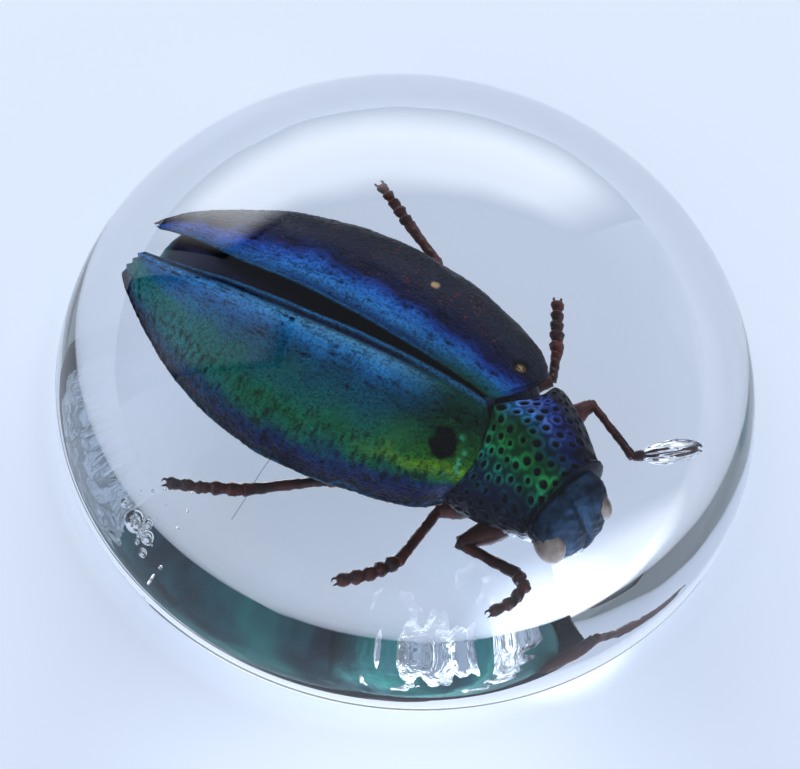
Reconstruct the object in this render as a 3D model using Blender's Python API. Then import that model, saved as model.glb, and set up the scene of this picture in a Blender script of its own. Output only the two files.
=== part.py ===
"""Clear resin dome, the casting that holds a beetle.

Metres, +Z up. The origin is the middle of the flat base, and +Z is the dome's axis.
The dome is one casting: half of a flattened ellipsoid of revolution over a polished base,
which is flat in the middle and curves gently up to the widest ring. It is solid right
through, because the resin set round the beetle and left no hollow.
"""

import math

import bmesh
import bpy

# Driving dimensions.
DIAMETER = 0.065
HEIGHT = 0.026
FLAT_RADIUS = 0.021
RING_HEIGHT = 0.0025

# How finely the round shapes are cut into flats.
STEPS_ROUND = 96
BASE_SEGMENTS = 8
WALL_SEGMENTS = 22

MERGE_DISTANCE = 1e-6

RESIN_COLOUR = (0.96, 0.975, 0.99, 1.0)
RESIN_ROUGHNESS = 0.02
RESIN_IOR = 1.55


def clear_scene():
    for obj in list(bpy.data.objects):
        bpy.data.objects.remove(obj, do_unlink=True)


def resin_material():
    material = bpy.data.materials.new("polyester_resin_polished")
    material.use_nodes = True
    shader = material.node_tree.nodes["Principled BSDF"]
    shader.inputs["Base Color"].default_value = RESIN_COLOUR
    shader.inputs["Roughness"].default_value = RESIN_ROUGHNESS
    shader.inputs["Metallic"].default_value = 0.0
    shader.inputs["Transmission Weight"].default_value = 1.0
    shader.inputs["IOR"].default_value = RESIN_IOR
    return material


def dome_profile():
    """(radius, height) pairs, from the rim of the flat base, out to the widest ring, up to the crown."""
    radius = DIAMETER / 2
    points = []
    for i in range(BASE_SEGMENTS):
        turn = -math.pi / 2 + math.pi / 2 * i / BASE_SEGMENTS
        across = FLAT_RADIUS + (radius - FLAT_RADIUS) * math.cos(turn)
        points.append((across, RING_HEIGHT + RING_HEIGHT * math.sin(turn)))
    for i in range(WALL_SEGMENTS):
        turn = math.pi / 2 * i / WALL_SEGMENTS
        up = RING_HEIGHT + (HEIGHT - RING_HEIGHT) * math.sin(turn)
        points.append((radius * math.cos(turn), up))
    points.append((0.0, HEIGHT))
    return points


def resin_block():
    bm = bmesh.new()
    verts = [bm.verts.new((across, 0.0, up)) for across, up in dome_profile()]
    edges = [bm.edges.new(pair) for pair in zip(verts, verts[1:])]
    bmesh.ops.spin(
        bm,
        geom=verts + edges,
        cent=(0.0, 0.0, 0.0),
        axis=(0.0, 0.0, 1.0),
        angle=2 * math.pi,
        steps=STEPS_ROUND,
        use_merge=True,
    )
    bmesh.ops.remove_doubles(bm, verts=bm.verts, dist=MERGE_DISTANCE)
    rim = [edge for edge in bm.edges if edge.is_boundary]
    bmesh.ops.edgeloop_fill(bm, edges=rim)
    bmesh.ops.recalc_face_normals(bm, faces=bm.faces)
    mesh = bpy.data.meshes.new("resin_block")
    bm.to_mesh(mesh)
    bm.free()
    mesh.shade_smooth()
    mesh.set_sharp_from_angle(angle=math.radians(40))
    mesh.materials.append(resin_material())
    block = bpy.data.objects.new("resin_block", mesh)
    bpy.context.scene.collection.objects.link(block)
    return block


clear_scene()
resin_block()
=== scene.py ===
"""A jewel beetle sealed in a clear resin dome.

Lengths in this file are in millimetres until MM turns them into metres. The beetle is
modelled in its own axes: +X towards its head, +Y towards its left side, +Z up through its
back, with the origin under the scutellum at the height of the wing cases' outer edges.
"""

import math
import random

import bmesh
import bpy
from mathutils import Matrix, Vector, noise


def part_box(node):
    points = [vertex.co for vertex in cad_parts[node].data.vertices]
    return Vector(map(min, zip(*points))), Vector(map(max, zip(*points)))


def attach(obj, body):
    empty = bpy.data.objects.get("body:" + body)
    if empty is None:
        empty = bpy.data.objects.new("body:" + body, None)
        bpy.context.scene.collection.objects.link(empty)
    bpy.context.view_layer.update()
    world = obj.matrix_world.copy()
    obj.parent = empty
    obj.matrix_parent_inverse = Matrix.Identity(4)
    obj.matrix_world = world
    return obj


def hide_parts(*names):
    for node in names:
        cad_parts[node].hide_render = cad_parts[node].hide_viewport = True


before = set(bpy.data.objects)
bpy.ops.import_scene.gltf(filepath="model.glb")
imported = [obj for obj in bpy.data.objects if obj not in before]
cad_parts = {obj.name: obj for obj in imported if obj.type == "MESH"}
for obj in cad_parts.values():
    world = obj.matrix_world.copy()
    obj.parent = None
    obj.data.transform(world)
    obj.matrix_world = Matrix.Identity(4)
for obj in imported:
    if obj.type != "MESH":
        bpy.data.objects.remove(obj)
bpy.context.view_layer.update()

MM = 0.001
BODY = "root"

# The dome, as the frame gives it.
BASE_CORNER, TOP_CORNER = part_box("resin_block")
DOME_RADIUS = (TOP_CORNER[0] - BASE_CORNER[0]) / 2 / MM
DOME_HEIGHT = (TOP_CORNER[2] - BASE_CORNER[2]) / MM
DOME_FLAT = 21.0
DOME_RING = 2.5

# Where the beetle lies in the dome.
BEETLE_PLACE = (7.05, -10.6, 14.0)
BEETLE_HEADING = math.radians(-25.7)
BEETLE_NOSE_UP = math.radians(4.0)
NECK_TURN = math.radians(-9.0)

# Wing cases: length, and height over their outer edges.
WING_LENGTH = 34.2
WING_HEIGHT = 7.6

BEETLE = (
    Matrix.Scale(MM, 4)
    @ Matrix.Translation(BEETLE_PLACE)
    @ Matrix.Rotation(BEETLE_HEADING, 4, "Z")
    @ Matrix.Rotation(-BEETLE_NOSE_UP, 4, "Y")
)
RESIN_FRAME = Matrix.Scale(MM, 4)


# ---------------------------------------------------------------- helpers

def paint(code, alpha=1.0):
    """An sRGB hex colour as linear values."""
    parts = [int(code[i : i + 2], 16) / 255 for i in (0, 2, 4)]
    return tuple(c / 12.92 if c <= 0.04045 else ((c + 0.055) / 1.055) ** 2.4 for c in parts) + (alpha,)


def add(tree, kind, inputs=None, **settings):
    """Adds a node with its settings, and sets or links its inputs."""
    item = tree.nodes.new(kind)
    for name, value in settings.items():
        setattr(item, name, value)
    for socket, value in (inputs or {}).items():
        if isinstance(value, bpy.types.NodeSocket):
            tree.links.new(value, item.inputs[socket])
        else:
            item.inputs[socket].default_value = value
    return item


def new_material(name):
    material = bpy.data.materials.new(name)
    material.use_nodes = True
    tree = material.node_tree
    shader = tree.nodes["Principled BSDF"]
    return material, tree, shader


def ramp(tree, factor, stops, interpolation="LINEAR"):
    """A colour ramp through (position, hex colour) stops."""
    item = add(tree, "ShaderNodeValToRGB", {"Fac": factor})
    item.color_ramp.interpolation = interpolation
    bands = item.color_ramp.elements
    while len(bands) < len(stops):
        bands.new(0.5)
    for band, (position, code) in zip(bands, stops):
        band.position = position
        band.color = paint(code) if isinstance(code, str) else (code, code, code, 1.0)
    return item.outputs["Color"]


def curve_through(keys, x):
    """Smooth value at x of the curve through (x, value) keys."""
    if x <= keys[0][0]:
        return keys[0][1]
    if x >= keys[-1][0]:
        return keys[-1][1]
    for i in range(len(keys) - 1):
        if x <= keys[i + 1][0]:
            break
    (x0, a), (x1, b) = keys[i], keys[i + 1]
    before, after = keys[max(i - 1, 0)], keys[min(i + 2, len(keys) - 1)]
    slope0 = (b - before[1]) / (x1 - before[0])
    slope1 = (after[1] - a) / (after[0] - x0)
    t, width = (x - x0) / (x1 - x0), x1 - x0
    return (
        (2 * t**3 - 3 * t**2 + 1) * a
        + (t**3 - 2 * t**2 + t) * width * slope0
        + (3 * t**2 - 2 * t**3) * b
        + (t**3 - t**2) * width * slope1
    )


def smooth_step(low, high, x):
    t = min(max((x - low) / (high - low), 0.0), 1.0)
    return t * t * (3 - 2 * t)


def finish_piece(name, bm, material, place=BEETLE, smooth=True):
    """Turns a bmesh into a piece of the object that rides on its body."""
    bmesh.ops.transform(bm, matrix=place, verts=bm.verts)
    bmesh.ops.recalc_face_normals(bm, faces=bm.faces)
    mesh = bpy.data.meshes.new(name)
    bm.to_mesh(mesh)
    bm.free()
    if smooth:
        mesh.shade_smooth()
    mesh.materials.append(material)
    piece = bpy.data.objects.new(name, mesh)
    bpy.context.scene.collection.objects.link(piece)
    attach(piece, BODY)
    return piece


def tube_grid(columns, rows):
    """A flat unit sheet, to which the callers add float layers that carry patterns."""
    bm = bmesh.new()
    bmesh.ops.create_grid(bm, x_segments=columns, y_segments=rows, size=0.5)
    return bm


def close_tube(bm):
    """Joins a sheet's two long edges, and caps the two ends of the tube."""
    bmesh.ops.remove_doubles(bm, verts=bm.verts, dist=1e-5)
    rims = [edge for edge in bm.edges if edge.is_boundary]
    bmesh.ops.holes_fill(bm, edges=rims, sides=0)


# ---------------------------------------------------------------- resin dome

def resin_material():
    """Polyester resin, cast and polished: water-clear, with a wet gloss."""
    material, tree, shader = new_material("polyester_resin_cast")
    shader.inputs["Base Color"].default_value = (1.0, 1.0, 1.0, 1.0)
    shader.inputs["Roughness"].default_value = 0.0
    shader.inputs["IOR"].default_value = 1.55
    shader.inputs["Transmission Weight"].default_value = 1.0
    absorb = add(tree, "ShaderNodeVolumeAbsorption", {"Color": paint("E4EEF6"), "Density": 6.0})
    tree.links.new(absorb.outputs["Volume"], tree.nodes["Material Output"].inputs["Volume"])
    return material


def resin_dome():
    bm = bmesh.new()
    profile = []
    for i in range(14):
        turn = -math.pi / 2 + math.pi / 2 * i / 14
        across = DOME_FLAT + (DOME_RADIUS - DOME_FLAT) * math.cos(turn)
        profile.append((across, 0.0, DOME_RING + DOME_RING * math.sin(turn)))
    for i in range(72):
        turn = math.pi / 2 * i / 72
        up = DOME_RING + (DOME_HEIGHT - DOME_RING) * math.sin(turn)
        profile.append((DOME_RADIUS * math.cos(turn), 0.0, up))
    profile.append((0.0, 0.0, DOME_HEIGHT))
    verts = [bm.verts.new(point) for point in profile]
    edges = [bm.edges.new(pair) for pair in zip(verts, verts[1:])]
    bmesh.ops.spin(
        bm, geom=verts + edges, cent=(0, 0, 0), axis=(0, 0, 1), angle=2 * math.pi, steps=240, use_merge=True
    )
    bmesh.ops.remove_doubles(bm, verts=bm.verts, dist=1e-4)
    base = bmesh.ops.edgeloop_fill(bm, edges=[edge for edge in bm.edges if edge.is_boundary])["faces"]
    # Hand polishing leaves the dome a few hundredths of a millimetre off true.
    for vert in bm.verts:
        lift = smooth_step(DOME_RING, 8.0, vert.co.z)
        wave = noise.noise(vert.co / 9.0) + 0.4 * noise.noise(vert.co / 4.0 + Vector((7, 3, 1)))
        inward = 0.05 * lift * (wave - 1.0)
        vert.co += Vector((vert.co.x, vert.co.y, vert.co.z)).normalized() * inward
    bm.faces.index_update()
    base_index = base[0].index
    piece = finish_piece("resin_dome", bm, resin_material(), RESIN_FRAME)
    piece.data.polygons[base_index].use_smooth = False
    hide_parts("resin_block")
    return piece


# ---------------------------------------------------------------- wing cases

# Half width of each case at its outer edge, and how far its inner edge stands from the middle
# line, both in millimetres, from base (0) to tip (1). The cases have sprung a little apart.
OUTER_EDGE = {
    1: [
        (0.0, 7.6), (0.03, 8.5), (0.12, 9.6), (0.3, 10.5), (0.5, 10.0),
        (0.7, 8.1), (0.85, 5.6), (0.95, 3.6), (1.0, 2.2),
    ],
    -1: [
        (0.0, 7.2), (0.03, 8.2), (0.075, 9.0), (0.155, 9.95), (0.33, 11.1), (0.425, 11.35),
        (0.515, 11.1), (0.61, 10.5), (0.71, 9.3), (0.82, 7.5), (0.905, 5.75), (0.96, 4.5), (1.0, 3.3),
    ],
}
INNER_EDGE = {
    1: [(0.0, 0.08), (0.16, 0.0), (0.33, -0.15), (0.6, -0.5), (0.72, -0.6), (0.83, -0.1), (1.0, 0.55)],
    -1: [
        (0.0, 0.12), (0.16, 0.5), (0.33, 1.15), (0.5, 2.0),
        (0.65, 2.4), (0.82, 2.65), (0.93, 2.4), (1.0, 2.0),
    ],
}
WING_HEIGHTS = [
    (0.0, 0.79), (0.04, 0.85), (0.12, 0.92), (0.3, 1.0), (0.5, 1.04),
    (0.7, 0.93), (0.85, 0.70), (0.95, 0.50), (1.0, 0.38),
]
# How far the base of the wing cases reaches forward, from the suture (0) to the outer edge (1).
BASE_LINE = [(0.0, 0.15), (0.2, 0.9), (0.5, 1.9), (0.75, 1.9), (0.92, 1.2), (1.0, 0.3)]
PIT_ALONG = {1: 0.35, -1: -0.75}
PIT_ACROSS = {1: 4.45, -1: 5.2}
PIT_RADIUS = {1: 1.0, -1: 1.6}


def wing_point(along, turn, side, inset=0.0):
    """A point on a wing case: turn is 90 degrees at the suture and 0 at the outer edge."""
    inner = curve_through(INNER_EDGE[side], along)
    half = curve_through(OUTER_EDGE[side], along) - inner - inset
    tall = WING_HEIGHT * curve_through(WING_HEIGHTS, along) - inset
    x = -WING_LENGTH * along + inset * (1 - 2 * along)
    x += (1 - along) ** 7 * curve_through(BASE_LINE, math.cos(turn))
    # The tip is cut a little aslant, with three blunt teeth.
    tip = smooth_step(0.93, 1.0, along)
    x += tip * (0.5 * math.sin(turn) + 0.18 * math.sin(turn * 13.0))
    return Vector((x, side * (inner + half * math.cos(turn)), tall * math.sin(turn)))


def wing_case(name, side, material):
    """A thin shell: the outer face from suture to edge, turned in under the edge and back inside."""
    outer_share = 0.82
    bm = tube_grid(400, 150)
    along_layer = bm.verts.layers.float.new("along")
    across_layer = bm.verts.layers.float.new("across")
    crest_layer = bm.verts.layers.float.new("crest")
    pit_layer = bm.verts.layers.float.new("pit")
    rim_layer = bm.verts.layers.float.new("rim")
    dot_layer = bm.verts.layers.float.new("dot")
    pit_at = Vector((PIT_ALONG[side], PIT_ACROSS[side]))
    dots = [pit_at + Vector((0.1, 0.1)), Vector((-9.6, 6.7))] if side > 0 else []
    for vert in bm.verts:
        along, round_share = vert.co.x + 0.5, vert.co.y + 0.5
        if round_share <= outer_share:
            across, inset = round_share / outer_share, 0.0
        else:
            across = 1 - (round_share - outer_share) / (1 - outer_share)
            inset = 0.35 * math.sin(math.pi / 2 * min(1.0, 6 * (1 - across))) * min(1.0, 6 * across) ** 0.5
        turn = math.radians(90 - 95 * across)
        point = wing_point(along, turn, side, inset)
        crest = 0.5
        if inset == 0.0:
            out = Vector((0, side * math.cos(turn), math.sin(turn)))
            flat = Vector((point.x, abs(point.y)))
            reach = (flat - pit_at).length * (1 + 0.35 * noise.noise(point / 0.9))
            size = PIT_RADIUS[side]
            pit = 1 - smooth_step(0.30 * size, 0.95 * size, reach)
            ahead = 0.5 + 0.5 * (flat.x - pit_at.x) / max(reach, 0.01)
            torn = smooth_step(-0.1, 0.35, noise.noise(point / 0.7))
            # Painted highlight: a torn bright ring on the side of the right pit's rim that faces ahead.
            vert[rim_layer] = math.exp(-(((reach - 1.1 * size) / 0.22) ** 2)) * ahead * torn * (side < 0)
            vert[pit_layer] = pit
            vert[dot_layer] = max([1 - smooth_step(0.2, 0.5, (flat - dot).length) for dot in dots] or [0.0])
            # Wrinkles: sharp and lengthwise beside the suture, short and steep on the flank.
            ridge_band = smooth_step(0.04, 0.09, across) * (1 - smooth_step(0.26, 0.42, across))
            flank = smooth_step(0.40, 0.60, across)
            length_grain = Vector((point.x / 1.5, across * 38.0, side * 7.0))
            long_noise = 1 - abs(noise.noise(length_grain)) * 2.2
            fine_noise = 1 - abs(noise.noise(length_grain * 2.3 + Vector((4, 9, 2)))) * 2.2
            cross_grain = Vector((point.x / 0.42, across * 13.0, side * 3.0))
            short_noise = noise.noise(cross_grain) + 0.7 * noise.noise(cross_grain * 2.2)
            wave = noise.noise(point / 4.5) * 0.14 + noise.noise(point / 1.6) * 0.05
            ridges = ridge_band * (0.6 * long_noise + 0.4 * fine_noise)
            crest = (
                0.5
                + 0.5 * (ridge_band * (0.6 * long_noise + 0.4 * fine_noise - 0.35))
                + 0.4 * flank * short_noise
            )
            bead = 0.14 * math.exp(-(((across - 0.012) / 0.012) ** 2))
            groove = -0.10 * math.exp(-(((across - 0.036) / 0.014) ** 2))
            edge_bead = 0.10 * math.exp(-(((across - 0.975) / 0.018) ** 2))
            point += out * (
                -0.26 * pit + 0.17 * ridges + 0.06 * flank * short_noise + wave + bead + groove + edge_bead
            )
        vert[crest_layer] = crest
        vert[along_layer] = along
        vert[across_layer] = across * side
        vert.co = point
    close_tube(bm)
    return finish_piece(name, bm, material)


# Colours across both cases, with painted light in them: the beetle's green and blue, painted highlights in
# the bright azure bands beside the suture and on its beads, and painted shade in the grooves and towards the
# outer edges. 0 is the right outer edge, 0.5 the suture, 1 the left outer edge.
WING_BASE_COLOURS_AND_PAINTED_LIGHT = [
    (0.0, "0A1030"), (0.012, "155880"), (0.03, "0A1030"),
    (0.08, "0C1A5C"), (0.13, "10366C"), (0.17, "1F7C40"),
    (0.215, "7DB82A"), (0.25, "3E8E26"), (0.32, "1F6E2E"),
    (0.38, "0F4A2C"), (0.43, "0F4A34"), (0.475, "1A6A58"),
    (0.49, "4AA2DC"), (0.4985, "0A1430"), (0.502, "0A1430"),
    (0.508, "1E7A58"), (0.535, "2A90B0"), (0.56, "3C9CF0"),
    (0.59, "3060D0"), (0.62, "161E5C"), (0.66, "161A3E"), (0.8, "12122C"), (1.0, "0E0E20"),
]
WING_MIDDLE_COLOURS_AND_PAINTED_LIGHT = [
    (0.0, "0A1030"), (0.012, "176890"), (0.03, "0A1030"),
    (0.07, "0E1C5C"), (0.12, "12407A"), (0.165, "1A7C66"),
    (0.21, "1F8A58"), (0.27, "1C8478"), (0.34, "1A7084"), (0.38, "1A7094"),
    (0.405, "2484C4"), (0.43, "4CB8FF"), (0.462, "78D0FF"),
    (0.476, "0C2450"), (0.486, "0E2A58"), (0.493, "4AACF0"), (0.4985, "0A1430"), (0.502, "0A1430"),
    (0.508, "2C90CC"), (0.518, "1A5CA8"), (0.54, "48AEFF"),
    (0.575, "3890F4"), (0.598, "2450B0"), (0.622, "141C50"),
    (0.66, "161A3E"), (0.8, "12122C"), (1.0, "0E0E20"),
]
WING_TIP_COLOURS_AND_PAINTED_LIGHT = [
    (0.0, "14203A"), (0.03, "101C3C"), (0.08, "1C5484"),
    (0.17, "28989A"), (0.28, "2E9A98"), (0.34, "2C90C0"),
    (0.39, "2C88D0"), (0.445, "5CB8FF"), (0.474, "0F2E58"),
    (0.486, "10305C"), (0.493, "3C9CD8"), (0.4985, "0A1430"),
    (0.502, "0A1430"), (0.508, "2A80AC"), (0.53, "2A74CC"),
    (0.575, "2C68DA"), (0.61, "1E3C94"), (0.64, "121848"),
    (0.70, "161838"), (1.0, "0E0E20"),
]


def wing_material():
    """Metallic chitin: thin clear layers over dark brown. Its colour is painted by its place across the
    back, with painted highlights and painted shade standing in for how it turns with the slope of the back.
    """
    material, tree, shader = new_material("chitin_metallic_wing_case")
    read = {
        name: add(tree, "ShaderNodeAttribute", attribute_name=name).outputs["Fac"]
        for name in ("across", "along", "crest", "pit", "rim", "dot")
    }
    place = add(tree, "ShaderNodeTexCoord").outputs["Object"]
    cloud = add(tree, "ShaderNodeTexNoise", {"Vector": place, "Scale": 330.0, "Detail": 4.0}).outputs["Fac"]
    shift = add(tree, "ShaderNodeMath", {0: cloud, 1: 0.5}, operation="SUBTRACT").outputs[0]
    # The colours wander by up to 5% of the width, but not at the suture.
    size = add(tree, "ShaderNodeMath", {0: read["across"]}, operation="ABSOLUTE").outputs[0]
    away = ramp(tree, size, [(0.08, 0.0), (0.3, 1.0)])
    shift = add(tree, "ShaderNodeMath", {0: shift, 1: away}, operation="MULTIPLY").outputs[0]
    wander = add(
        tree, "ShaderNodeMath", {0: shift, 1: 0.30, 2: read["across"]}, operation="MULTIPLY_ADD"
    ).outputs[0]
    band = add(tree, "ShaderNodeMapRange", {"Value": wander, "From Min": -1.0, "From Max": 1.0}).outputs[0]
    base_skin = ramp(tree, band, WING_BASE_COLOURS_AND_PAINTED_LIGHT)
    middle_skin = ramp(tree, band, WING_MIDDLE_COLOURS_AND_PAINTED_LIGHT)
    tip_skin = ramp(tree, band, WING_TIP_COLOURS_AND_PAINTED_LIGHT)
    near_base = ramp(tree, read["along"], [(0.06, 1.0), (0.27, 0.0)], "EASE")
    near_tip = ramp(tree, read["along"], [(0.45, 0.0), (0.80, 1.0)], "EASE")
    skin = add(
        tree, "ShaderNodeMix", {"Factor": near_tip, "A": middle_skin, "B": tip_skin}, data_type="RGBA"
    ).outputs["Result"]
    skin = add(
        tree, "ShaderNodeMix", {"Factor": near_base, "A": skin, "B": base_skin}, data_type="RGBA"
    ).outputs["Result"]
    # Painted light on wrinkles about 0.3 mm apart: painted highlights on their crests and painted shade
    # between them, over a fine random fleck.
    fleck = add(tree, "ShaderNodeTexNoise", {"Vector": place, "Scale": 4600.0, "Detail": 3.0}).outputs["Fac"]
    fleck_tone = ramp(tree, fleck, [(0.34, 0.45), (0.48, 0.88), (0.60, 1.0)])
    crest_painted_light = ramp(tree, read["crest"], [(0.25, 0.22), (0.5, 0.80), (0.75, 1.0)])
    fleck_and_painted_crest_light = add(tree, "ShaderNodeMath", {0: fleck_tone, 1: crest_painted_light}, operation="MULTIPLY").outputs[0]
    skin = add(
        tree, "ShaderNodeMix", {"Factor": 1.0, "A": skin, "B": fleck_and_painted_crest_light}, data_type="RGBA", blend_type="MULTIPLY"
    ).outputs["Result"]
    # Punctures about 0.25 mm across show the red-brown under the layers of the left flank.
    cells = add(tree, "ShaderNodeTexVoronoi", {"Vector": place, "Scale": 2300.0}).outputs["Distance"]
    hole = ramp(tree, cells, [(0.14, 1.0), (0.30, 0.0)])
    flank = ramp(tree, band, [(0.60, 0.0), (0.66, 1.0), (0.93, 1.0), (0.97, 0.0)])
    patch = add(tree, "ShaderNodeTexNoise", {"Vector": place, "Scale": 300.0, "Detail": 2.0}).outputs["Fac"]
    patch = ramp(tree, patch, [(0.48, 0.0), (0.60, 1.0)])
    show = add(tree, "ShaderNodeMath", {0: hole, 1: flank}, operation="MULTIPLY").outputs[0]
    show = add(tree, "ShaderNodeMath", {0: show, 1: patch}, operation="MULTIPLY").outputs[0]
    marks = (
        (show, "A8482A"),
        # Painted highlight in bright green on the front rim of the right pit.
        (ramp(tree, read["rim"], [(0.15, 0.0), (1.0, 0.8)]), "4FC094"),
        # Painted shade: almost black in the pits.
        (ramp(tree, read["pit"], [(0.05, 0.0), (0.5, 1.0)]), "040608"),
        (read["dot"], "D8B07C"),
    )
    for factor, code in marks:
        skin = add(
            tree, "ShaderNodeMix", {"Factor": factor, "A": skin, "B": paint(code)}, data_type="RGBA"
        ).outputs["Result"]
    tree.links.new(skin, shader.inputs["Base Color"])
    shader.inputs["Metallic"].default_value = 0.9
    tree.links.new(ramp(tree, cloud, [(0.3, 0.24), (0.7, 0.38)]), shader.inputs["Roughness"])
    stretch = add(tree, "ShaderNodeMapping", {
        "Vector": place, "Rotation": (0, 0, -BEETLE_HEADING), "Scale": (0.5, 1.3, 1.3),
    }).outputs["Vector"]
    creases = add(tree, "ShaderNodeTexNoise", {
        "Vector": stretch, "Scale": 3000.0, "Detail": 5.0, "Roughness": 0.6, "Distortion": 0.5,
    }).outputs["Fac"]
    height = add(tree, "ShaderNodeMath", {0: creases, 1: hole}, operation="SUBTRACT").outputs[0]
    bump = add(tree, "ShaderNodeBump", {"Height": height, "Strength": 1.0, "Distance": 0.00024})
    tree.links.new(bump.outputs["Normal"], shader.inputs["Normal"])
    return material


# ---------------------------------------------------------------- neck shield and head

NECK_LENGTH = 8.9
NECK_WIDTHS = [(0.0, 6.4), (0.12, 6.75), (0.35, 6.5), (0.6, 5.8), (0.85, 4.8), (1.0, 4.4)]
NECK_HEIGHTS = [(0.0, 6.0), (0.25, 6.1), (0.5, 5.5), (0.8, 4.1), (1.0, 3.0)]
NECK_DEPTHS = [(0.0, 3.8), (0.4, 3.8), (1.0, 2.8)]
NECK = BEETLE @ Matrix.Translation((0.3, 0, 0)) @ Matrix.Rotation(NECK_TURN, 4, "Z")
# Painted highlights: where the net between the pits is painted shining: place along and across, reach and
# strength.
PAINTED_SHINE = [
    (2.6, 2.6, 2.0, 1.0), (4.6, 2.0, 1.3, 0.4), (3.4, -3.3, 2.1, 1.0), (5.4, -1.2, 1.6, 0.45),
    (8.2, -1.4, 1.2, 0.95), (1.6, -5.4, 1.5, 0.8), (1.8, 0.2, 1.2, 0.35),
]


def scatter_pits(length, girth, spacing, seed):
    """Pit centres on an unrolled patch, none closer than the spacing."""
    draw = random.Random(seed)
    found = []
    for _ in range(6000):
        spot = (draw.uniform(0.5, length - 0.4), draw.uniform(-girth, girth))
        if all((spot[0] - s[0]) ** 2 + (spot[1] - s[1]) ** 2 > spacing**2 for s in found):
            found.append(spot)
    return found


def neck_shield(material):
    """The first ring of the thorax: a pitted arch above and a smoother belly below, in one tube."""
    spots = scatter_pits(NECK_LENGTH, 10.0, 1.0, 4)
    draw = random.Random(11)
    sizes = [draw.uniform(0.26, 0.42) for _ in spots]
    bm = tube_grid(150, 330)
    pit_layer = bm.verts.layers.float.new("pit")
    rim_layer = bm.verts.layers.float.new("rim")
    across_layer = bm.verts.layers.float.new("across")
    along_layer = bm.verts.layers.float.new("along")
    painted_shine_layer = bm.verts.layers.float.new("painted_shine")
    for vert in bm.verts:
        along, turn = vert.co.x + 0.5, math.pi / 2 - 2 * math.pi * vert.co.y
        side = math.cos(turn)
        upper = math.sin(turn) > 0
        half = curve_through(NECK_WIDTHS, along)
        up = curve_through(NECK_HEIGHTS if upper else NECK_DEPTHS, along)
        # The hind edge follows the base of the wing cases, a seam's width in front of it.
        seam = curve_through(BASE_LINE, abs(side)) if upper else 0.3
        x = NECK_LENGTH * along + (1 - along) ** 2 * (seam + 0.15)
        point = Vector((x, half * side, up * math.sin(turn)))
        girth = -vert.co.y * 2 * math.pi * (half + up) / 2
        pit = rim = 0.0
        if math.sin(turn) > -0.35:
            for (px, pg), size in zip(spots, sizes):
                dx, dg = NECK_LENGTH * along - px, girth - pg
                if abs(dx) < 1.0 and abs(dg) < 1.0:
                    reach = math.hypot(dx, dg)
                    pit = max(pit, 1 - smooth_step(0.45 * size, 1.05 * size, reach))
                    rim = max(rim, math.exp(-(((reach - 1.3 * size) / 0.18) ** 2)))
        out = Vector((0, side, math.sin(turn)))
        wave = noise.noise(point / 2.2) * 0.12
        lip = (
            0.15 * math.exp(-(((along - 0.985) / 0.02) ** 2))
            - 0.12 * math.exp(-(((along - 0.93) / 0.025) ** 2))
        )
        tuck = -0.9 * (1 - smooth_step(0.0, 0.05, along)) ** 2 - 0.5 * smooth_step(0.97, 1.0, along) ** 2
        point += out * (-0.26 * pit + 0.05 * rim + wave + lip + tuck)
        painted_shine = 0.12
        for sx, sy, reach, strength in PAINTED_SHINE:
            near = ((point.x - sx) ** 2 + (point.y - sy) ** 2) / reach**2
            painted_shine += strength * math.exp(-near)
        vert[painted_shine_layer] = min(1.0, painted_shine) if upper else 0.15
        vert[pit_layer] = pit
        vert[rim_layer] = rim
        vert[across_layer] = side if upper else math.copysign(1.0, side)
        vert[along_layer] = along
        vert.co = point
    close_tube(bm)
    return finish_piece("neck_shield", bm, material, NECK)


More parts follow.
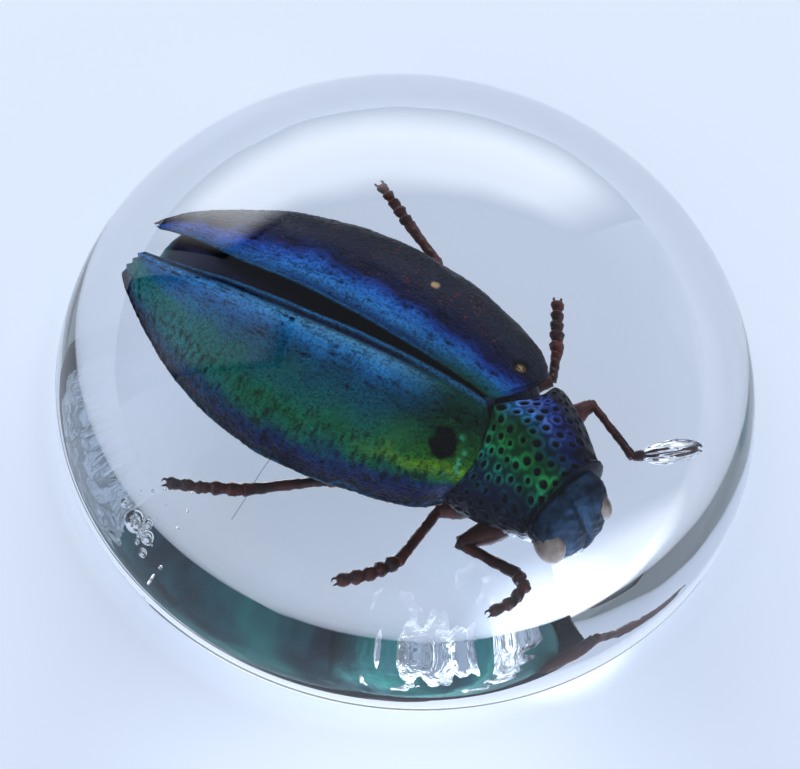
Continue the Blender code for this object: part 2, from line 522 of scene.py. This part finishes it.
def neck_material():
    """Metallic chitin with round pits: painted highlights on the net between the pits, painted shade almost
    black in them.
    """
    material, tree, shader = new_material("chitin_metallic_pitted")
    read = {
        name: add(tree, "ShaderNodeAttribute", attribute_name=name).outputs["Fac"]
        for name in ("across", "along", "pit", "rim", "painted_shine")
    }
    place = add(tree, "ShaderNodeTexCoord").outputs["Object"]
    cloud = add(tree, "ShaderNodeTexNoise", {"Vector": place, "Scale": 330.0, "Detail": 3.0}).outputs["Fac"]
    shift = add(tree, "ShaderNodeMath", {0: cloud, 1: 0.5}, operation="SUBTRACT").outputs[0]
    wander = add(
        tree, "ShaderNodeMath", {0: shift, 1: 0.6, 2: read["across"]}, operation="MULTIPLY_ADD"
    ).outputs[0]
    band = add(tree, "ShaderNodeMapRange", {"Value": wander, "From Min": -1.0, "From Max": 1.0}).outputs[0]
    ground = ramp(tree, band, [
        (0.0, "0C1634"), (0.12, "14284A"), (0.25, "125048"),
        (0.36, "177038"), (0.5, "15543A"), (0.6, "134A5A"),
        (0.70, "1A2E86"), (0.80, "0C1238"), (1.0, "080A1C"),
    ])
    net = ramp(tree, band, [
        (0.0, "141E40"), (0.10, "24606A"), (0.20, "2CC0A0"),
        (0.30, "34E890"), (0.40, "36C858"), (0.52, "2A9A70"),
        (0.60, "48A0F4"), (0.68, "84B0FF"), (0.78, "5478FF"), (0.85, "141C50"), (1.0, "0A0E24"),
    ])
    # Painted light: the net is painted bright where the shine spots put highlights, and the ground is
    # painted in shade away from them.
    mottle = add(tree, "ShaderNodeTexNoise", {"Vector": place, "Scale": 900.0, "Detail": 2.0}).outputs["Fac"]
    mottle = ramp(tree, mottle, [(0.38, 0.25), (0.6, 1.0)])
    lit = add(tree, "ShaderNodeMath", {0: read["painted_shine"], 1: mottle}, operation="MULTIPLY").outputs[0]
    net_painted_highlight = add(tree, "ShaderNodeMath", {0: read["rim"], 1: lit}, operation="MULTIPLY").outputs[0]
    dim = ramp(tree, read["painted_shine"], [(0.1, 0.35), (0.9, 0.75)])
    ground = add(
        tree, "ShaderNodeMix", {"Factor": 1.0, "A": ground, "B": dim},
        data_type="RGBA", blend_type="MULTIPLY",
    ).outputs["Result"]
    skin = add(
        tree, "ShaderNodeMix", {"Factor": net_painted_highlight, "A": ground, "B": net}, data_type="RGBA"
    ).outputs["Result"]
    # Painted shade almost black in the pits; the hind and front edges are darker too.
    pit_painted_shade = ramp(tree, read["pit"], [(0.05, 0.0), (0.6, 1.0)])
    seam = ramp(tree, read["along"], [(0.0, 1.0), (0.03, 0.0), (0.90, 0.0), (0.97, 0.85)])
    for factor, code in ((pit_painted_shade, "060F14"), (seam, "0A0C20")):
        skin = add(
            tree, "ShaderNodeMix", {"Factor": factor, "A": skin, "B": paint(code)}, data_type="RGBA"
        ).outputs["Result"]
    tree.links.new(skin, shader.inputs["Base Color"])
    shader.inputs["Metallic"].default_value = 0.9
    tree.links.new(ramp(tree, cloud, [(0.3, 0.28), (0.7, 0.42)]), shader.inputs["Roughness"])
    grain = add(tree, "ShaderNodeTexNoise", {"Vector": place, "Scale": 3500.0, "Detail": 3.0}).outputs["Fac"]
    bump = add(tree, "ShaderNodeBump", {"Height": grain, "Strength": 0.4, "Distance": 0.00006})
    tree.links.new(bump.outputs["Normal"], shader.inputs["Normal"])
    return material


def dark_chitin(name, low, high, metallic, rough):
    """Chitin with little metal in it, mottled between two colours."""
    material, tree, shader = new_material(name)
    place = add(tree, "ShaderNodeTexCoord").outputs["Object"]
    cloud = add(tree, "ShaderNodeTexNoise", {"Vector": place, "Scale": 700.0, "Detail": 5.0}).outputs["Fac"]
    tree.links.new(ramp(tree, cloud, [(0.35, low), (0.65, high)]), shader.inputs["Base Color"])
    shader.inputs["Metallic"].default_value = metallic
    tree.links.new(ramp(tree, cloud, [(0.3, rough), (0.7, rough + 0.15)]), shader.inputs["Roughness"])
    grain = add(tree, "ShaderNodeTexNoise", {"Vector": place, "Scale": 4000.0, "Detail": 4.0}).outputs["Fac"]
    bump = add(tree, "ShaderNodeBump", {"Height": grain, "Strength": 0.5, "Distance": 0.00008})
    tree.links.new(bump.outputs["Normal"], shader.inputs["Normal"])
    return material


def blob(name, material, centre, half, shape, place=BEETLE, fineness=48):
    """A closed rounded body: a globe stretched to its half sizes, then shaped point by point."""
    bm = bmesh.new()
    bmesh.ops.create_uvsphere(bm, u_segments=fineness * 2, v_segments=fineness, radius=1.0)
    bmesh.ops.rotate(bm, verts=bm.verts, matrix=Matrix.Rotation(math.pi / 2, 3, "Y"))
    for vert in bm.verts:
        unit = vert.co.copy()
        point = Vector((unit.x * half[0], unit.y * half[1], unit.z * half[2]))
        vert.co = Vector(centre) + shape(unit, point)
    return finish_piece(name, bm, material, place)


def head_parts(shell, eye):
    def skull(unit, point):
        # Boxy rather than round: a blunt face as wide as the front of the neck shield.
        face = smooth_step(0.2, 1.0, unit.x)
        boxy = (abs(unit.x) ** 3 + abs(unit.y) ** 3 + abs(unit.z) ** 3) ** (-1 / 3)
        point = point * (0.35 + 0.65 * boxy)
        point.y *= 1 - 0.06 * face
        point.z -= 0.7 * face
        point.x -= 0.4 * math.exp(-((unit.y / 0.10) ** 2)) * smooth_step(0.0, 0.6, unit.x)
        return point + unit * 0.16 * noise.noise(point / 0.5)

    blob("head", shell, (9.5, -0.4, -0.5), (2.45, 3.9, 3.0), skull, NECK)

    def jaw(unit, point):
        return point + unit * 0.06 * noise.noise(point / 0.4)

    blob("mouthparts", shell, (10.9, -0.4, -2.7), (0.9, 1.5, 1.0), jaw, NECK, 20)
    for side, word in ((1, "left"), (-1, "right")):

        def bulge(unit, point, side=side):
            return Matrix.Rotation(math.radians(12 * side), 3, "X") @ point

        middle = (10.2, side * 2.8 - 0.65, -1.0)
        blob(f"eye_{word}", eye, middle, (1.75, 1.1, 1.9), bulge, NECK, 24)


def antennae(shell):
    """Eleven short joints each, laid back under the head, out of sight from above."""
    for side, word in ((1, "left"), (-1, "right")):
        turns = [(11.0, 1.2, -2.6), (10.4, 2.2, -3.6), (9.4, 2.6, -4.0), (7.6, 2.7, -4.2), (6.2, 2.6, -4.3)]
        route = [Vector((x, side * y, z)) for x, y, z in turns]
        joints = 11
        points, radii = [], []
        for i in range(joints * 2 + 1):
            t = i / (joints * 2) * (len(route) - 1)
            k = min(int(t), len(route) - 2)
            points.append(route[k].lerp(route[k + 1], t - k))
            radii.append(0.16 if i % 2 else 0.27)
        limb(f"antenna_{word}", points, radii, shell, 0.02, 31, NECK, 8)


# ---------------------------------------------------------------- underside

def underside_material():
    """Metallic chitin below, blue-green; the soft back under the wing cases is dark violet."""
    material, tree, shader = new_material("chitin_metallic_underside")
    place = add(tree, "ShaderNodeTexCoord").outputs["Object"]
    height = add(tree, "ShaderNodeSeparateXYZ", {"Vector": place}).outputs["Z"]
    back = add(tree, "ShaderNodeMapRange", {
        "Value": height, "From Min": 0.0135, "From Max": 0.0150,
    }).outputs[0]
    cloud = add(tree, "ShaderNodeTexNoise", {"Vector": place, "Scale": 260.0, "Detail": 6.0}).outputs["Fac"]
    below = ramp(tree, cloud, [(0.34, "0C2434"), (0.47, "1A5A62"), (0.58, "20807A"), (0.72, "4A8A96")])
    skin = add(
        tree, "ShaderNodeMix", {"Factor": back, "A": below, "B": paint("12142E")}, data_type="RGBA"
    ).outputs["Result"]
    tree.links.new(skin, shader.inputs["Base Color"])
    shader.inputs["Metallic"].default_value = 0.85
    tree.links.new(ramp(tree, cloud, [(0.3, 0.34), (0.7, 0.5)]), shader.inputs["Roughness"])
    grain = add(tree, "ShaderNodeTexNoise", {"Vector": place, "Scale": 2400.0, "Detail": 4.0}).outputs["Fac"]
    bump = add(tree, "ShaderNodeBump", {"Height": grain, "Strength": 0.5, "Distance": 0.0001})
    tree.links.new(bump.outputs["Normal"], shader.inputs["Normal"])
    return material



def abdomen(material):
    """Five visible plates below, tapering to a blunt tip, and a dark soft back under the wing cases."""

    def plates(unit, point):
        tail = smooth_step(0.0, -1.0, unit.x)
        share = (unit.x + 1) / 2
        step = (share * 5.5) % 1.0
        groove = math.exp(-(((step - 0.5) / 0.06) ** 2)) if unit.z < 0.3 else 0.0
        point.z *= 1.0 if unit.z < 0 else 1.15
        point.y *= 1 + 0.10 * math.cos(unit.x * 1.4)
        point.y -= 0.5 * tail
        rough = 0.06 * noise.noise(point / 0.5)
        return point + unit * (rough - 0.22 * groove) + Vector((0, 0, 0.5 * tail))

    blob("abdomen", material, (-18.4, -0.2, 0.9), (13.4, 7.5, 4.4), plates, BEETLE, 60)


def thorax(material):
    def keel(unit, point):
        ridge = 0.6 * math.exp(-((unit.y / 0.15) ** 2)) if unit.z < 0 else 0.0
        seam = (
            0.25 * math.exp(-(((unit.x - 0.1) / 0.06) ** 2))
            + 0.2 * math.exp(-(((unit.x + 0.55) / 0.05) ** 2))
        )
        rough = 0.08 * noise.noise(point / 0.6)
        return point + unit * (rough - seam) - Vector((0, 0, ridge))

    blob("thorax_underside", material, (-3.2, 0, 0.0), (6.6, 7.4, 4.3), keel, BEETLE, 48)


def scutellum(material):
    def shield(unit, point):
        point.y *= 1 - 0.35 * unit.x
        return point

    blob("scutellum", material, (0.25, 0, 5.95), (0.55, 0.45, 0.25), shield, BEETLE, 12)


# ---------------------------------------------------------------- legs

def limb(name, points, radii, material, knots=0.0, seed=0, place=BEETLE, sides=14):
    """A tapering limb along a smooth path, with dried, uneven skin."""
    path = bpy.data.curves.new(name, "CURVE")
    path.dimensions = "3D"
    path.resolution_u = 12
    path.bevel_depth = 1.0
    path.bevel_resolution = sides // 4
    path.use_fill_caps = True
    line = path.splines.new("BEZIER")
    line.bezier_points.add(len(points) - 1)
    for knot, point, radius in zip(line.bezier_points, points, radii):
        knot.co = point
        knot.radius = radius
        knot.handle_left_type = knot.handle_right_type = "AUTO"
    holder = bpy.data.objects.new(name, path)
    bpy.context.scene.collection.objects.link(holder)
    bpy.context.view_layer.update()
    mesh = bpy.data.meshes.new_from_object(holder.evaluated_get(bpy.context.evaluated_depsgraph_get()))
    bpy.data.objects.remove(holder, do_unlink=True)
    bpy.data.curves.remove(path)
    bm = bmesh.new()
    bm.from_mesh(mesh)
    bpy.data.meshes.remove(mesh)
    bmesh.ops.remove_doubles(bm, verts=bm.verts, dist=1e-5)
    bm.normal_update()
    shift = Vector((seed * 3.1, seed * 1.7, seed))
    for vert in bm.verts:
        rough = noise.noise(vert.co / 0.45 + shift) + 0.5 * noise.noise(vert.co / 0.2 + shift)
        vert.co += vert.normal * knots * rough
    return finish_piece(name, bm, material, place)


def tarsus(name, points, width, material, seed):
    """A foot of five overlapping joints with broad pads, and two small claws."""
    joints = 5
    route, radii = [], []
    total = len(points) - 1
    for i in range(joints * 4 + 1):
        t = i / (joints * 4) * total
        k = min(int(t), total - 1)
        route.append(Vector(points[k]).lerp(Vector(points[k + 1]), t - k))
        lobe = (0.80, 0.98, 1.10, 1.14)[i % 4] if i < joints * 4 else 0.8
        radii.append(width * lobe * (1 - 0.12 * i / (joints * 4)))
    limb(f"{name}_foot", route, radii, material, 0.09, seed, BEETLE, 16)
    end = Vector(route[-1])
    way = (end - Vector(route[-3])).normalized()
    side = way.cross(Vector((0, 0, 1))).normalized()
    for sign, word in ((1, "front"), (-1, "back")):
        hook = [
            end - way * 0.2 + side * sign * 0.15,
            end + way * 0.25 + side * sign * 0.32,
            end + way * 0.45 + side * sign * 0.22 - Vector((0, 0, 0.25)),
        ]
        limb(f"{name}_claw_{word}", hook, [0.13, 0.10, 0.03], material, 0.0, seed, BEETLE, 8)


def leg(name, hip, knee, ankle, foot, material, seed, thick=1.0, pads=0.56):
    """Femur, tibia and foot, from the hip outwards."""
    hip, knee, ankle = Vector(hip), Vector(knee), Vector(ankle)
    middle = hip.lerp(knee, 0.5) + Vector((0, 0, 0.1))
    limb(
        f"{name}_femur",
        [hip, middle, knee],
        [0.85 * thick, 1.05 * thick, 0.60 * thick],
        material, 0.06, seed, BEETLE, 20,
    )
    shin = ankle - knee
    limb(
        f"{name}_tibia",
        [knee - shin * 0.03, knee + shin * 0.3, knee + shin * 0.7, ankle],
        [0.46 * thick, 0.44 * thick, 0.48 * thick, 0.56 * thick],
        material, 0.08, seed + 1, BEETLE, 16,
    )
    tarsus(name, [ankle, *foot], pads, material, seed + 2)


def all_legs(shell):
    leg("leg_hind_right", (-5.6, -5.4, -2.8), (-9.2, -9.2, -2.8), (-14.4, -13.7, -2.8),
        [(-17.4, -15.4, -2.8), (-20.2, -16.9, -2.6)], shell, 1, 0.95, 0.52)
    leg("leg_middle_right", (1.8, -4.2, -3.0), (-0.4, -6.6, -2.8), (-0.4, -12.4, -2.8),
        [(-1.6, -14.6, -2.9), (-3.4, -16.8, -2.8)], shell, 5, 0.95, 0.60)
    leg("leg_front_right", (5.6, -3.6, -2.8), (2.7, -8.2, -2.8), (8.4, -7.9, -2.9),
        [(9.8, -8.7, -2.9), (9.9, -10.6, -2.9), (9.1, -12.5, -2.8)], shell, 9, 1.0, 0.58)
    leg("leg_front_left", (3.3, 5.2, -2.6), (4.4, 8.3, -2.4), (10.0, 6.5, -2.5),
        [(12.3, 8.7, -2.5), (14.9, 11.1, -2.5)], shell, 13, 0.78, 0.42)
    leg("leg_middle_left", (-1.6, 5.8, -2.6), (0.5, 8.0, -2.3), (-0.5, 10.2, -2.0),
        [(-1.8, 12.2, -2.0), (-3.0, 14.1, -2.0)], shell, 17, 0.85, 0.56)
    leg("leg_hind_left", (-9.6, 7.4, -1.6), (-12.6, 11.1, -0.5), (-16.0, 12.6, -0.4),
        [(-18.0, 13.5, -0.3), (-20.0, 14.4, -0.3)], shell, 21, 0.9, 0.48)


# ---------------------------------------------------------------- air, lint and dust in the resin

def air_material():
    """Air shut in by the resin: the inside of a bubble mirrors the light at its edges."""
    material, tree, shader = new_material("trapped_air")
    shader.inputs["Base Color"].default_value = (1.0, 1.0, 1.0, 1.0)
    shader.inputs["Roughness"].default_value = 0.0
    shader.inputs["IOR"].default_value = 1 / 1.55
    shader.inputs["Transmission Weight"].default_value = 1.0
    return material


def air_film(material):
    """A long crinkled pocket of air round the left front foot, silvery along its folds."""

    def crinkle(unit, point):
        angle = math.atan2(unit.z, unit.y)
        folds = 0.14 * math.sin(angle * 7 + 2.0 * unit.x) + 0.05 * math.sin(angle * 13 - 3.0 * unit.x)
        ends = 1 - abs(unit.x) ** 3
        return Matrix.Rotation(math.radians(44), 3, "Z") @ (
            point + Vector((0, unit.y, unit.z)) * folds * ends
        )

    blob(
        "air_film_on_foot", material,
        (12.9, 9.2, -2.5), (3.3, 0.95, 0.75), crinkle, BEETLE, 40,
    )


def silver_film_material():
    """A skin of air between shell and resin, so thin that it only mirrors: silvery, a little crinkled."""
    material, tree, shader = new_material("silvery_air_film")
    shader.inputs["Base Color"].default_value = paint("C8D2DA")
    shader.inputs["Metallic"].default_value = 1.0
    shader.inputs["Roughness"].default_value = 0.22
    place = add(tree, "ShaderNodeTexCoord").outputs["Object"]
    crinkle = add(tree, "ShaderNodeTexNoise", {
        "Vector": place, "Scale": 900.0, "Detail": 4.0, "Distortion": 1.5,
    }).outputs["Fac"]
    bump = add(tree, "ShaderNodeBump", {"Height": crinkle, "Strength": 0.8, "Distance": 0.0003})
    tree.links.new(bump.outputs["Normal"], shader.inputs["Normal"])
    return material


def belly_films(material):
    """Air pulled away from the shell below: it stands clear in folds and is lost in the shell between."""
    films = (
        ("air_film_under_abdomen", (-24.5, -0.8, -0.2), (7.2, 6.0, 3.85), -0.20),
        ("air_film_under_thorax", (-2.0, -0.6, -0.6), (7.4, 6.2, 4.15), -0.20),
        ("air_film_under_neck", (5.6, -1.2, -0.8), (4.4, 4.6, 3.7), 0.12),
        ("air_film_under_head", (9.3, -1.9, -1.6), (2.4, 3.6, 3.5), 0.1),
    )
    for index, (name, centre, half, fill) in enumerate(films):

        def folds(unit, point, index=index, fill=fill):
            low = smooth_step(0.10, -0.35, unit.z)
            grain = Vector((point.x / 0.6, point.y / 1.5, index * 7.0))
            fold = noise.noise(grain) + 0.5 * noise.noise(grain * 2.3)
            return point * (0.80 + 0.17 * low) + unit * low * (0.45 * fold + fill)

        blob(name, material, centre, half, folds, BEETLE, 64)


def bubbles(material):
    """A cluster of small round bubbles low on the left, and a few stray ones."""
    draw = random.Random(23)
    bm = bmesh.new()
    spots = []
    for _ in range(400):
        far = draw.random() < 0.25
        spread = 3.5 if far else 1.3
        size = draw.uniform(0.06, 0.16) if far else draw.uniform(0.12, 0.42)
        centre = Vector((-19.0, -17.0, 3.6)) + Vector([draw.gauss(0, spread * 0.5) for _ in range(3)])
        centre.z = max(centre.z, 1.6 + size)
        clear = all((centre - other).length > size + radius + 0.03 for other, radius in spots)
        inside = (centre.x**2 + centre.y**2) ** 0.5 < 28.0
        if clear and inside and len(spots) < 34:
            spots.append((centre, size))
    spots = [(Vector((-19.6, -16.9, 3.6)), 0.95), (Vector((-18.3, -17.9, 3.2)), 0.6)] + spots
    for centre, size in spots + [(Vector((-15.5, -16.8, 6.0)), 0.16), (Vector((-4.5, -4.0, 19.4)), 0.07)]:
        bmesh.ops.create_icosphere(bm, subdivisions=3, radius=size, matrix=Matrix.Translation(centre))
    finish_piece("bubbles", bm, material, RESIN_FRAME)


def lint(material):
    """One fine fibre that fell on the resin before it set."""
    path = [
        (-3.6, -8.0, 21.9), (-4.6, -9.9, 21.5), (-6.1, -13.1, 20.6), (-8.0, -15.3, 19.2),
        (-9.8, -17.0, 17.6), (-10.9, -18.5, 16.2), (-11.8, -20.2, 14.6), (-12.7, -21.6, 13.0),
    ]
    radii = [0.022] * len(path)
    limb("lint_fibre", [Vector(p) for p in path], radii, material, 0.0, 3, RESIN_FRAME, 8)


# ---------------------------------------------------------------- build

resin_dome()
wing_look = wing_material()
wing_case("wing_case_left", 1, wing_look)
wing_case("wing_case_right", -1, wing_look)
neck_look = neck_material()
neck_shield(neck_look)
dark_shell = dark_chitin("chitin_dark_violet", "12243A", "2E4E6C", 0.75, 0.36)
under_shell = underside_material()
leg_shell = dark_chitin("chitin_red_brown", "2A0806", "64180C", 0.1, 0.28)
eye_shell = dark_chitin("eye_brown", "806C60", "C4B2A4", 0.0, 0.2)
head_parts(dark_shell, eye_shell)
antennae(leg_shell)
abdomen(under_shell)
thorax(under_shell)
scutellum(dark_shell)
all_legs(leg_shell)
air_look = air_material()
air_film(air_look)
belly_films(silver_film_material())
bubbles(air_look)
lint(dark_shell)


# ---------------------------------------------------------------- floor, light and camera

# Light under the table top, and painted pools of light glowing in it where the dome would gather the window
# light in front of it.
TABLE_GLOW = 0.60
TABLE_PAINTED_LIGHT_POOLS = [((0.0155, -0.0195), 0.0095, 2.4), ((0.006, -0.042), 0.034, 0.34)]


def floor():
    """A wide pale table top of white acrylic, faintly lit from below, with painted pools of light glowing in
    front of the dome.
    """
    bm = bmesh.new()
    bmesh.ops.create_grid(bm, x_segments=1, y_segments=1, size=3.0)
    mesh = bpy.data.meshes.new("table_top")
    bm.to_mesh(mesh)
    bm.free()
    material, tree, shader = new_material("matt_white_acrylic")
    shader.inputs["Base Color"].default_value = paint("D2D8E0")
    shader.inputs["Roughness"].default_value = 0.9
    shader.inputs["Emission Color"].default_value = paint("DCE8FF")
    place = add(tree, "ShaderNodeTexCoord").outputs["Object"]
    glow = TABLE_GLOW
    for spot, reach, strength in TABLE_PAINTED_LIGHT_POOLS:
        apart = add(
            tree, "ShaderNodeVectorMath", {0: place, 1: (*spot, 0)}, operation="DISTANCE"
        ).outputs["Value"]
        share = add(tree, "ShaderNodeMapRange", {
            "Value": apart, "From Min": reach, "From Max": 0.15 * reach, "To Max": strength,
        }, interpolation_type="SMOOTHSTEP").outputs[0]
        glow = add(tree, "ShaderNodeMath", {0: glow, 1: share}, operation="ADD").outputs[0]
    tree.links.new(glow, shader.inputs["Emission Strength"])
    mesh.materials.append(material)
    top = bpy.data.objects.new("table_top", mesh)
    top.location.z = -0.00005
    bpy.context.scene.collection.objects.link(top)


def softbox(name, azimuth, low, high, half, distance, strength, soft):
    """An upright soft light panel facing the object, dimmer towards its foot.

    Its low and high edges and its half width are shares of its distance.
    """
    bm = bmesh.new()
    bmesh.ops.create_grid(bm, x_segments=1, y_segments=1, size=0.5)
    bmesh.ops.scale(bm, verts=bm.verts, vec=(2 * half * distance, (high - low) * distance, 1))
    turn = math.radians(azimuth)
    out = Vector((math.sin(turn), math.cos(turn), 0))
    side = Vector((-math.cos(turn), math.sin(turn), 0))
    stand = Matrix((side, Vector((0, 0, 1)), out)).transposed().to_4x4()
    stand.translation = out * distance + Vector((0, 0, (low + high) / 2 * distance))
    bmesh.ops.transform(bm, matrix=stand, verts=bm.verts)
    mesh = bpy.data.meshes.new(name)
    bm.to_mesh(mesh)
    bm.free()
    material, tree, shader = new_material(name)
    place = add(tree, "ShaderNodeTexCoord").outputs["Object"]
    height = add(tree, "ShaderNodeSeparateXYZ", {"Vector": place}).outputs["Z"]
    rise = add(tree, "ShaderNodeMapRange", {
        "Value": height,
        "From Min": low * distance,
        "From Max": (low + soft * (high - low)) * distance,
        "To Max": strength,
    }, interpolation_type="SMOOTHSTEP").outputs[0]
    fall = add(tree, "ShaderNodeMapRange", {
        "Value": height,
        "From Min": high * distance,
        "From Max": (high - 0.30 * (high - low)) * distance,
    }, interpolation_type="SMOOTHSTEP").outputs[0]
    rise = add(tree, "ShaderNodeMath", {0: rise, 1: fall}, operation="MULTIPLY").outputs[0]
    off_centre = add(
        tree, "ShaderNodeVectorMath", {0: place, 1: tuple(side)}, operation="DOT_PRODUCT"
    ).outputs["Value"]
    off_centre = add(tree, "ShaderNodeMath", {0: off_centre}, operation="ABSOLUTE").outputs[0]
    fade = add(tree, "ShaderNodeMapRange", {
        "Value": off_centre, "From Min": half * distance, "From Max": 0.6 * half * distance,
    }, interpolation_type="SMOOTHSTEP").outputs[0]
    rise = add(tree, "ShaderNodeMath", {0: rise, 1: fade}, operation="MULTIPLY").outputs[0]
    glow = add(tree, "ShaderNodeEmission", {"Color": (0.93, 0.96, 1.0, 1.0), "Strength": rise})
    tree.links.new(glow.outputs["Emission"], tree.nodes["Material Output"].inputs["Surface"])
    mesh.materials.append(material)
    panel = bpy.data.objects.new(name, mesh)
    panel.visible_camera = False
    bpy.context.scene.collection.objects.link(panel)


def room(level, overhead):
    """Pale walls all round at table height, and a dim ceiling."""
    world = bpy.data.worlds.new("room")
    world.use_nodes = True
    tree = world.node_tree
    back = tree.nodes["Background"]
    way = add(tree, "ShaderNodeTexCoord").outputs["Generated"]
    height = add(tree, "ShaderNodeSeparateXYZ", {"Vector": way}).outputs["Z"]
    dim = add(tree, "ShaderNodeMapRange", {
        "Value": height, "From Min": 0.15, "From Max": 0.55, "To Min": level, "To Max": overhead,
    }, interpolation_type="SMOOTHSTEP").outputs[0]
    tree.links.new(dim, back.inputs["Strength"])
    back.inputs["Color"].default_value = (0.76, 0.87, 1.0, 1.0)
    bpy.context.scene.world = world


def camera(place, elevation, azimuth, roll, lens):
    """A long lens looking down on the dome from the front."""
    data = bpy.data.cameras.new("camera")
    data.lens = lens
    data.sensor_width = 36.0
    data.clip_start = 0.01
    data.clip_end = 20.0
    eye = bpy.data.objects.new("camera", data)
    tilt, turn = math.radians(elevation), math.radians(azimuth)
    forward = Vector((math.sin(turn) * math.cos(tilt), math.cos(turn) * math.cos(tilt), math.sin(tilt)))
    level = Vector((math.cos(turn), -math.sin(turn), 0))
    rise = level.cross(forward)
    spin = math.radians(roll)
    right = level * math.cos(spin) + rise * math.sin(spin)
    above = right.cross(forward)
    eye.rotation_euler = Matrix((right, above, -forward)).transposed().to_euler()
    eye.location = place
    bpy.context.scene.collection.objects.link(eye)
    bpy.context.scene.camera = eye


floor()
room(0.76, 0.24)
softbox("window_softbox", -12, -0.04, 0.84, 0.95, 1.2, 4.4, 0.4)
softbox("side_softbox", -76, 0.0, 1.7, 0.25, 1.2, 0.55, 0.3)
camera((0.0, -0.158976, 0.262639), -58.4359, -0.2528, 9.0, 147.84)
bpy.context.scene.view_settings.view_transform = "Standard"
# Light that has crossed the resin stays sharp, and its longer paths are kept.
bpy.context.scene.cycles.blur_glossy = 0.0
bpy.context.scene.cycles.max_bounces = 24
bpy.context.scene.cycles.transmission_bounces = 24
bpy.context.scene.cycles.glossy_bounces = 12
